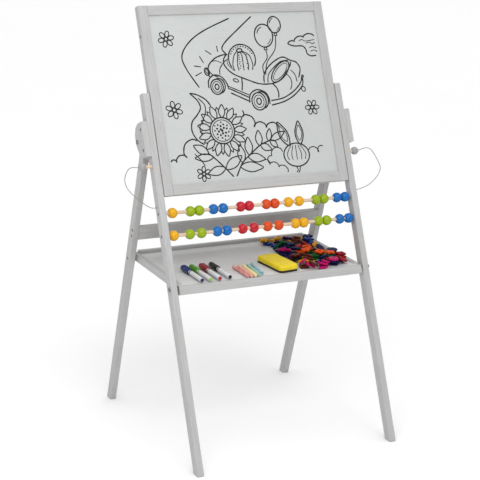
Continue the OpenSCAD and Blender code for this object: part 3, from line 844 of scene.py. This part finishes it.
def marker(name, colour, plug_colour, near, far, clip_turn):
    """A board marker: coloured plug, white barrel, tapered shoulder, and a ribbed cap with a clip."""
    plug = lathe(name + "_plug", rounded([(0, 0), (4.0, 0), (4.4, 0.6), (4.4, 3.0)], 0.4) + [(0, 3.0)])
    tube = [(0, 1.4), (4.9, 1.4), (5.2, 2.2), (BARREL_R, 10), (BARREL_R, 62), (4.9, 65), (4.5, 67), (4.4, 72)]
    barrel = lathe(name + "_barrel", rounded(tube, 0.6) + [(0, 72)])
    low_r, mid_r = BARREL_R + 0.06, BARREL_R + 0.08
    band = lathe(name + "_band", [(0, 58), (low_r, 58), (mid_r, 58.4), (mid_r, 60.6), (low_r, 61), (0, 61)])
    hood = [(0, 67.5), (6.9, 67.5), (CAP_R, 68.5), (CAP_R, 86), (6.9, 104), (6.1, 107.6), (4.4, 109)]
    cap = lathe(name + "_cap", rounded(hood, 0.8) + [(0, 109.1)], 60, ribs(20, 0.05, 71, 102))
    run = [(CAP_R + 1.0, h) for h in (70, 72, 80, 88, 96)] + [(CAP_R - 0.2, 102), (4.2, 107)]
    strip = [(-1.7, -0.5), (1.7, -0.5), (1.7, 0.4), (1.2, 0.8), (-1.2, 0.8), (-1.7, 0.4)]
    strip = [(a * MM, b * MM) for a, b in strip]
    path = [Vector((r, 0, h)) * MM for r, h in run]
    bar = mesh_object(name + "_clip", *swept(path, lambda i, count: strip, start_up=ALONG_X), False)
    for p in (plug, barrel, band, cap, bar):
        lay(p, near, far, TRAY_FLOOR + CAP_R, math.radians(clip_turn))
    shade = plastic(name + "_colour", colour, 0.22, len(name))
    for p in (cap, bar, band):
        set_material(p, shade)
    finish_loose(join([cap, bar, band], name + "_cap"))
    set_material(plug, plastic(name + "_plug_colour", plug_colour, 0.3, len(name) + 5))
    finish_loose(plug)
    set_material(barrel, BARREL)
    finish_loose(barrel)


BARREL = plastic("marker_barrel", rgb(205, 205, 208), 0.25, 3, 0.03)
marker("marker_blue", rgb(10, 38, 98), rgb(22, 22, 88), (-178, 0), (-180, 109), 100)
marker("marker_green", rgb(84, 148, 22), rgb(138, 184, 66), (-157, -1), (-159, 108), 60)
marker("marker_red", rgb(134, 14, 22), rgb(158, 20, 58), (-134, -1), (-134, 108), 120)
marker("marker_black", rgb(10, 10, 11), rgb(10, 10, 11), (-108, 0), (-108, 109), 20)


def chalk_material(name, colour, seed):
    m = Shader(name)
    powder = m.noise(4, 0.0005, (seed, 0, 0))
    dust = m.noise(4, 0.006, (0, seed, 0))
    tint = m.mix(m.span(dust, 0.35, 0.7, 0.0, 0.6), colour, m.mix(0.55, colour, rgb(250, 246, 240)))
    tint = m.mix(m.span(powder, 0.62, 0.74, 0.0, 0.4), tint, times(colour, 0.75))
    m.base(Base_Color=tint, Roughness=0.92, Normal=m.bump(powder, 0.0003, 0.8))
    return m


def chalk(name, colour, near, far, seed):
    """A tapered stick with slightly crumbled ends."""
    rng = random.Random(seed)
    profile = rounded([(0, 0), (4.0, 0.2), (4.5, 1.0), (4.3, 40), (4.05, 77), (3.4, 78.2)], 0.9)
    stick = lathe(name, profile + [(0, 78)], 28)
    for v in stick.data.vertices:
        rough = 0.09 if 0.002 < v.co.z < 0.076 else 0.22
        v.co += Vector([rng.uniform(-1, 1) for _ in range(3)]) * rough * MM
    lay(stick, near, far, TRAY_FLOOR + CHALK_R, seed)
    set_material(stick, chalk_material(name + "_powder", colour, seed))
    finish_loose(stick)


chalk("chalk_red", rgb(198, 112, 108), (-62, 0), (-63, 78), 1)
chalk("chalk_orange", rgb(212, 146, 118), (-52.5, -1), (-50, 77), 2)
chalk("chalk_yellow", rgb(216, 196, 134), (-43, -1), (-38.5, 77), 3)
chalk("chalk_green", rgb(116, 174, 148), (-33.3, 1), (-25, 79), 4)
chalk("chalk_blue", rgb(120, 164, 182), (-23.5, 8), (-11, 85), 5)


def slab(name, outline, layers):
    """A solid built up from an outline round its centre: each layer is (inset, height), in mm."""
    verts = []
    middle = sum((Vector(p) for p in outline), Vector((0, 0))) / len(outline)
    for inset, h in layers:
        for p in outline:
            v = Vector(p) - middle
            v = v * max(0.02, 1 - inset / v.length) + middle
            verts.append(Vector((v.x, v.y, h)) * MM)
    return mesh_object(name, verts, ring_faces(len(layers), len(outline)))


def box_outline(w, h, r):
    """A rectangle with rounded corners, from the one at +X and +Y round to the left."""
    made = []
    for quarter, (sx, sy) in enumerate(((1, 1), (-1, 1), (-1, -1), (1, -1))):
        for k in range(7):
            a = math.radians(90 * quarter + 15 * k)
            made.append((sx * (w / 2 - r) + r * math.cos(a), sy * (h / 2 - r) + r * math.sin(a)))
    return made


def eraser():
    """A yellow foam back on a black felt pad."""
    pad_layers = [(0.8, 0), (0.1, 0.5), (0, 2.2), (0.2, 5.2), (2.0, 5.6)]
    crown = [(1.2, 5.0), (0.2, 5.5), (0, 7), (0, 12.5), (0.7, 14.4), (2.2, 15.8), (4.6, 16.6), (9, 17.0),
             (15, 17.2), (20, 17.25)]
    felt = slab("eraser_felt", box_outline(51, 107, 9), pad_layers)
    back = slab("eraser_back", box_outline(52, 108, 10), crown)
    turn = Matrix.Rotation(ERASER_TURN, 4, "Z")
    for p in (felt, back):
        p.matrix_world = Matrix.Translation(tray(*ERASER_PLACE, TRAY_FLOOR)) @ TILT @ turn
    m = Shader("eraser_foam")
    cells = m.noise(3, 0.0009)
    worn = m.noise(4, 0.02)
    tint = m.mix(m.span(worn, 0.35, 0.7), rgb(216, 190, 4), rgb(226, 202, 12))
    tint = m.mix(m.span(cells, 0.62, 0.74, 0.0, 0.3), tint, rgb(150, 122, 8))
    m.base(Base_Color=tint, Roughness=0.55, Normal=m.bump(cells, 0.0002, 0.35))
    set_material(back, m)
    f = Shader("eraser_felt_black")
    fuzz = f.noise(4, 0.0004, rough=0.7)
    f.base(Base_Color=f.mix(f.span(fuzz, 0.3, 0.7), rgb(10, 10, 10), rgb(44, 43, 42)), Roughness=0.95,
           Normal=f.bump(fuzz, 0.0006, 0.8))
    set_material(felt, f)
    finish_loose(back)
    finish_loose(felt)


eraser()


# ---------------------------------------------------------------- the heap of magnets

MAGNET_T = 5.2                   # thickness, mm
MAGNET_BAR = 6.8                 # width of a bent bar, mm


def radial(n, radius_of):
    turns = [2 * math.pi * k / n for k in range(n)]
    return [(radius_of(a) * math.cos(a), radius_of(a) * math.sin(a)) for a in turns]


def straight_sided(sides, inner, least):
    """An outline with the given number of sides, inner from its middle, with its corners cut at least."""
    step = 2 * math.pi / sides
    return radial(48, lambda a: inner / max(least, math.cos((a + step / 2) % step - step / 2)))


def star_shape():
    return radial(40, lambda a: 10.6 + 3.3 * math.cos(5 * a))


def flower_shape():
    return radial(48, lambda a: 10.8 + 2.3 * abs(math.cos(3 * a)) ** 0.7)


def heart_shape():
    made = []
    for k in range(48):
        t = 2 * math.pi * k / 48
        y = 10.2 * math.cos(t) - 4.1 * math.cos(2 * t) - 1.6 * math.cos(3 * t) - 0.7 * math.cos(4 * t) + 1.3
        made.append((12.4 * math.sin(t) ** 3, y))
    return made[::-1]


def framed(outline, hole):
    """A rounded frame round a hole: verts and faces of its mesh and the hull's outline."""
    top = MAGNET_T
    profile = [(0.0, 1.1), (0.0, top - 1.1), (0.08, top - 0.3), (0.2, top), (0.8, top), (0.92, top - 0.3),
               (1.0, top - 1.1), (1.0, 1.1), (0.92, 0.3), (0.8, 0.0), (0.2, 0.0), (0.08, 0.3)]
    verts = []
    for x, y in outline:
        for share, h in profile:
            k = 1 - share * (1 - hole)
            verts.append(Vector((x * k, y * k, h - MAGNET_T / 2)))
    return verts, ring_faces(len(outline), len(profile), closed=True, flip=True), outline


def stroked(points):
    """A rounded bar along a path lying flat."""
    path = [Vector((p.x, p.y, 0)) for p in catmull(points, 7)]
    half, h = MAGNET_BAR / 2, MAGNET_T / 2
    corner = [(half, h - 1), (half - 0.4, h - 0.3), (half - 1.2, h)]
    loop = [(-a, b) for a, b in corner] + corner[::-1]
    loop += [(a, -b) for a, b in loop[::-1]]

    def section(i, count):
        end = min(i, count - 1 - i)
        k = (0.55, 0.88, 1.0)[min(end, 2)]
        return [(a * k, b * k) for a, b in loop]

    verts, faces = swept(path, section)
    rim = [(p.x + a, p.y + b) for p in path for a in (-half, half) for b in (-half, half)]
    return verts, faces, rim


MAGNET_SHAPES = [
    framed(star_shape(), 0.2), framed(heart_shape(), 0.3), framed(flower_shape(), 0.28),
    framed(straight_sided(3, 6.8, 0.46), 0.3), framed(straight_sided(4, 10.0, 0.74), 0.4),
    stroked([(-9, -8), (-8, 3), (-4, 8), (4, 8), (8, 3), (9, -8)]),
    stroked([(-11, 5), (-6, -5), (-1, 5), (5, -5), (10, 4)]),
    stroked([(8, 4), (4, 8), (-4, 8), (-8, 3), (-8, -4), (-4, -8), (4, -8)]),
    framed(star_shape(), 0.1), framed(flower_shape(), 0.12)]
# Each colour, and where it lies on the heap: across and along the tray, mm
MAGNETS = {
    "navy": (rgb(2, 8, 66), [(132, 205), (125, 165), (205, 205), (118, 120), (205, 92), (185, 20),
                             (160, 32)]),
    "black": (rgb(5, 4, 4), [(90, 205), (120, 85)]),
    "crimson": (rgb(140, 2, 20), [(190, 235), (182, 165), (160, 130), (205, 30)]),
    "orange": (rgb(220, 80, 6), [(145, 110), (190, 60)]),
    "yellow": (rgb(204, 146, 20), [(120, 240), (165, 220), (135, 70), (208, 125)]),
    "green": (rgb(4, 78, 28), [(102, 178), (165, 75), (150, 180)]),
    "magenta": (rgb(172, 4, 92), [(97, 135), (110, 0), (150, 0)]),
    "blue": (rgb(4, 46, 118), [(105, 215), (200, 165)]),
    "brown": (rgb(84, 22, 8), [(165, 190), (100, 55), (175, 105), (130, 30), (125, 145)])}
SIM = 20.0                       # the heap falls at this scale, because small bodies don't settle well
SIM_FRAMES = 160
SIM_GRAVITY = (0, 0, -60)
SEED = 11
MAGNET_COUNT = 170
EVEN_COUNT = 30                  # the first ones take the shapes in turn, the others at random
DROP_X = (102, 212)              # where they fall, across and along the tray, mm
DROP_Y = (12, 246)
START_TILT = 0.3                 # most that one leans as it starts to fall, radians
DROP_HEIGHT = 20                 # the first one's height above the tray's pivot, mm
DROP_STEP = 7                    # from one to the next, mm
COLOUR_BLUR = 11                 # how far colours stray from their places, mm
HEAP_TOP = 19                    # nothing lies with its middle higher than this above the floor, mm
FLAT_ENOUGH = 0.6                # cosine of the steepest tilt; nothing stands on its edge


def add_body(obj, kind):
    """Makes obj fall or stand fixed in the simulation, as its convex hull."""
    bpy.context.view_layer.objects.active = obj
    for o in bpy.context.view_layer.objects:
        o.select_set(o == obj)
    bpy.ops.rigidbody.object_add(type=kind)
    body = obj.rigid_body
    body.collision_shape = "CONVEX_HULL"
    body.use_margin = True
    body.collision_margin = 0.012
    body.friction = 0.75
    body.restitution = 0.0
    body.linear_damping = 0.25
    body.angular_damping = 0.5


def sim_box(name, low, high):
    """A fixed box in the tray's frame, at the simulation's scale."""
    verts = [tray(x, y, w) * SIM for x, y, w in product(*zip(low, high))]
    faces = [(0, 1, 3, 2), (4, 6, 7, 5), (0, 4, 5, 1), (2, 3, 7, 6), (0, 2, 6, 4), (1, 5, 7, 3)]
    obj = mesh_object(name, verts, faces, False)
    add_body(obj, "PASSIVE")
    return obj


def magnet_heap():
    scene = bpy.context.scene
    rng = random.Random(SEED)
    bpy.ops.rigidbody.world_add()
    world = scene.rigidbody_world
    world.substeps_per_frame = 12
    world.solver_iterations = 30
    world.point_cache.frame_start = 1
    world.point_cache.frame_end = SIM_FRAMES
    scene.gravity = SIM_GRAVITY
    walls = [sim_box("sim_floor", (-230, -10, -30), (230, 280, TRAY_FLOOR)),
             sim_box("sim_back", (-230, 264.5, 0), (230, 300, 60)),
             sim_box("sim_right", (222, -20, 0), (262, 300, 60)),
             sim_box("sim_front", (-230, -40, 0), (230, -3, 60)),
             sim_box("sim_left", (40, -40, 0), (84, 300, 60))]
    kinds = len(MAGNET_SHAPES)
    pieces = []
    for i in range(MAGNET_COUNT):
        verts, faces, rim = MAGNET_SHAPES[i % kinds if i < EVEN_COUNT else rng.randrange(kinds)]
        hull = [Vector((x, y, z)) * MM * SIM for x, y in rim for z in (-MAGNET_T / 2, MAGNET_T / 2)]
        proxy = mesh_object(f"sim_{i:02d}", hull, [(0, 1, 2)], False)
        lean = [rng.uniform(-START_TILT, START_TILT) for _ in range(2)]
        turn = Euler((*lean, rng.uniform(0, 6.28))).to_matrix().to_4x4()
        x, y = rng.uniform(*DROP_X), rng.uniform(*DROP_Y)
        proxy.matrix_world = Matrix.Translation(tray(x, y, DROP_HEIGHT + DROP_STEP * i) * SIM) @ turn
        add_body(proxy, "ACTIVE")
        pieces.append((proxy, verts, faces))
    for f in range(1, SIM_FRAMES + 1):
        scene.frame_set(f)
    depsgraph = bpy.context.evaluated_depsgraph_get()
    groups = {name: ([], []) for name in MAGNETS}
    places = [(name, px, py) for name, (_, spots) in MAGNETS.items() for px, py in spots]
    for proxy, verts, faces in pieces:
        world_matrix = proxy.evaluated_get(depsgraph).matrix_world.copy()
        rest = world_matrix.translation / SIM
        low = (rest - TRAY_PIVOT).dot(UP_TRAY) / MM
        if not (TRAY_FLOOR - 1 < low < TRAY_FLOOR + HEAP_TOP):
            continue
        turn = world_matrix.to_3x3().normalized()
        if abs(turn.col[2].dot(UP_TRAY)) < FLAT_ENOUGH:
            continue
        x = rest.x / MM + rng.gauss(0, COLOUR_BLUR)
        y = (rest - TRAY_PIVOT).dot(ALONG_TRAY) / MM + rng.gauss(0, COLOUR_BLUR)
        place = min(places, key=lambda p: (p[1] - x) ** 2 + (p[2] - y) ** 2)
        all_verts, all_faces = groups[place[0]]
        first = len(all_verts)
        all_verts += [rest + turn @ (v * MM) for v in verts]
        all_faces += [tuple(first + k for k in face) for face in faces]
    scene.frame_set(1)
    bpy.ops.rigidbody.world_remove()
    for obj in walls + [p[0] for p in pieces]:
        bpy.data.objects.remove(obj)
    for i, (name, (colour, _)) in enumerate(MAGNETS.items()):
        piece = mesh_object("magnets_" + name, *groups[name])
        set_material(piece, plastic("magnet_" + name, colour, 0.34, i, shine=0.14))
        finish_loose(piece)


magnet_heap()


# ---------------------------------------------------------------- floor and light

def floor():
    bpy.ops.mesh.primitive_plane_add(size=80, location=(0, 20, 0))
    plane = bpy.context.object
    plane.name = "floor"
    m = Shader("pale_floor")
    cloud = m.noise(2, 0.6)
    m.base(Base_Color=m.mix(cloud, (0.95, 0.95, 0.95, 1), (0.97, 0.97, 0.97, 1)), Roughness=0.75,
           Specular_IOR_Level=0.1)
    set_material(plane, m)


def light(name, kind, way, **settings):
    """A light that shines the given way."""
    data = bpy.data.lights.new(name, kind)
    for key, value in settings.items():
        setattr(data, key, value)
    made = bpy.data.objects.new(name, data)
    bpy.context.scene.collection.objects.link(made)
    made.rotation_euler = way.to_track_quat("-Z", "Y").to_euler()
    return made


KEY_PLACE = Vector((-0.75, -1.0, 1.35))
KEY_TARGET = Vector((-0.1, -0.1, 1.0))

floor()
world = bpy.data.worlds.new("studio")
world.use_nodes = True
background = world.node_tree.nodes["Background"].inputs
background["Color"].default_value = (1, 1, 1, 1)
background["Strength"].default_value = 0.56
bpy.context.scene.world = world
light("sky_panel", "SUN", Vector((-0.05, 0.1, -1.0)), energy=1.3, angle=1.8)
light("front_panel", "SUN", Vector((-0.03, 1.0, -1.5)), energy=0.3, angle=0.32)
# A round softbox near the easel, so that it fades towards the feet
key = light("key", "AREA", KEY_TARGET - KEY_PLACE, shape="DISK", size=0.9, energy=6)
key.location = KEY_PLACE
key.visible_camera = False
bpy.context.scene.view_settings.view_transform = "Standard"
